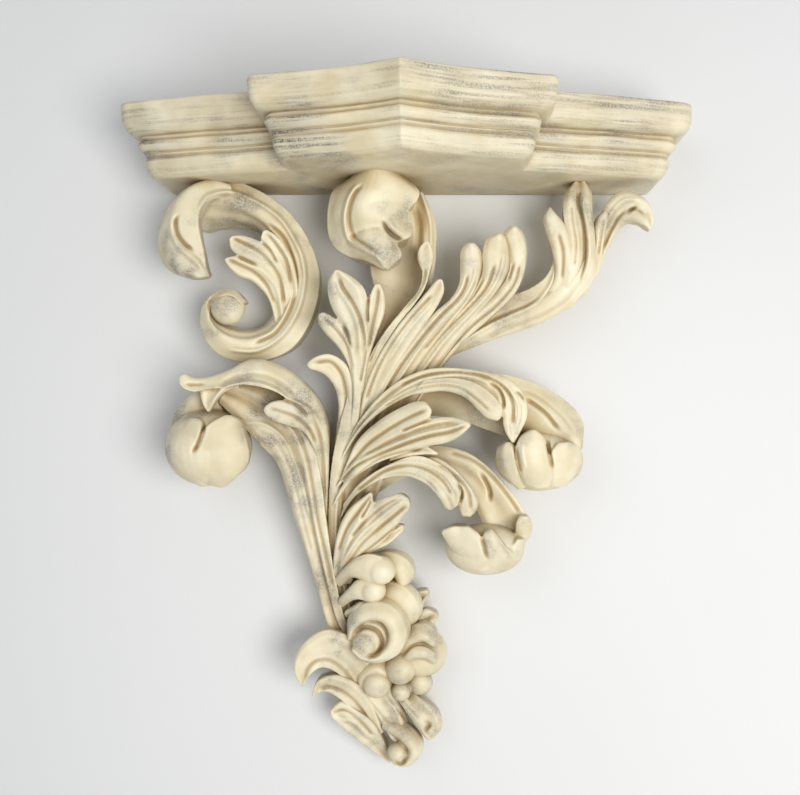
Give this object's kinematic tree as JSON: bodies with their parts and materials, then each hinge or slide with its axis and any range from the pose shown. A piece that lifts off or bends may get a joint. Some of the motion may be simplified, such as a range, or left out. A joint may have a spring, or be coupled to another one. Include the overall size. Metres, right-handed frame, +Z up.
{
  "type": "wall bracket shelf",
  "caption": "Small wall bracket shelf: a stepped, pointed, moulded top carried by an asymmetrical spray of carved acanthus leaves, buds and scrolls, in antiqued ivory.",
  "frame": {"origin": "middle of the shelf's flat back face, on the wall plane", "axes": "+X to the viewer's right along the wall, +Y into the wall, +Z up"},
  "size_m": [0.2618, 0.1038, 0.3133],
  "materials": {
    "antiqued_ivory": "ivory paint over cast resin, with an ochre glaze in the hollows and grey dry brushing on the mouldings",
    "zinc_steel": "zinc plated hanger plate and screws",
    "beech": "plain turned dowel"
  },
  "bodies": {
    "root": {"hanger_screw_left_1": "zinc_steel", "hanger_screw_left_2": "zinc_steel", "hanger_plate_left": "zinc_steel", "hanger_screw_right_1": "zinc_steel", "hanger_screw_right_2": "zinc_steel", "hanger_plate_right": "zinc_steel", "dowel_c_scroll": "beech", "dowel_centre_curl": "beech", "dowel_centre_stem": "beech", "shelf_core": "antiqued_ivory", "moulding_centre_left": "antiqued_ivory", "moulding_centre_right": "antiqued_ivory", "moulding_wing_left": "antiqued_ivory", "moulding_wing_right": "antiqued_ivory", "centre_curl": "antiqued_ivory", "c_scroll_leaf": "antiqued_ivory", "c_scroll_bead": "antiqued_ivory", "c_scroll_band": "antiqued_ivory", "left_over_leaf": "antiqued_ivory", "left_bud": "antiqued_ivory", "left_stem": "antiqued_ivory", "centre_stem": "antiqued_ivory", "trefoil_leaf": "antiqued_ivory", "middle_right_leaf": "antiqued_ivory", "upper_right_leaf": "antiqued_ivory", "upper_right_bud": "antiqued_ivory", "upper_right_stem": "antiqued_ivory", "lower_right_leaf": "antiqued_ivory", "lower_right_bud": "antiqued_ivory", "lower_right_stem": "antiqued_ivory", "small_left_curl": "antiqued_ivory", "fan_leaf_1": "antiqued_ivory", "fan_leaf_2": "antiqued_ivory", "fan_leaf_3": "antiqued_ivory", "fan_leaf_4": "antiqued_ivory", "fan_leaf_5": "antiqued_ivory", "plume_tip_1": "antiqued_ivory", "plume_tip_2": "antiqued_ivory", "plume_tip_3": "antiqued_ivory", "plume_curl": "antiqued_ivory", "plume_stem": "antiqued_ivory", "lower_leaf": "antiqued_ivory", "upper_bead": "antiqued_ivory", "lower_bead": "antiqued_ivory", "back_lobe_1": "antiqued_ivory", "back_lobe_2": "antiqued_ivory", "back_lobe_3": "antiqued_ivory", "back_lobe_4": "antiqued_ivory", "snail_volute": "antiqued_ivory", "cluster_bead_1": "antiqued_ivory", "cluster_bead_2": "antiqued_ivory", "cluster_bead_3": "antiqued_ivory", "cluster_lobe": "antiqued_ivory", "tail_leaf_1": "antiqued_ivory", "tail_leaf_2": "antiqued_ivory", "tail_leaf_3": "antiqued_ivory", "tail_curl": "antiqued_ivory", "tail_knob": "antiqued_ivory", "tail_stem": "antiqued_ivory"}
  },
  "joints": []
}
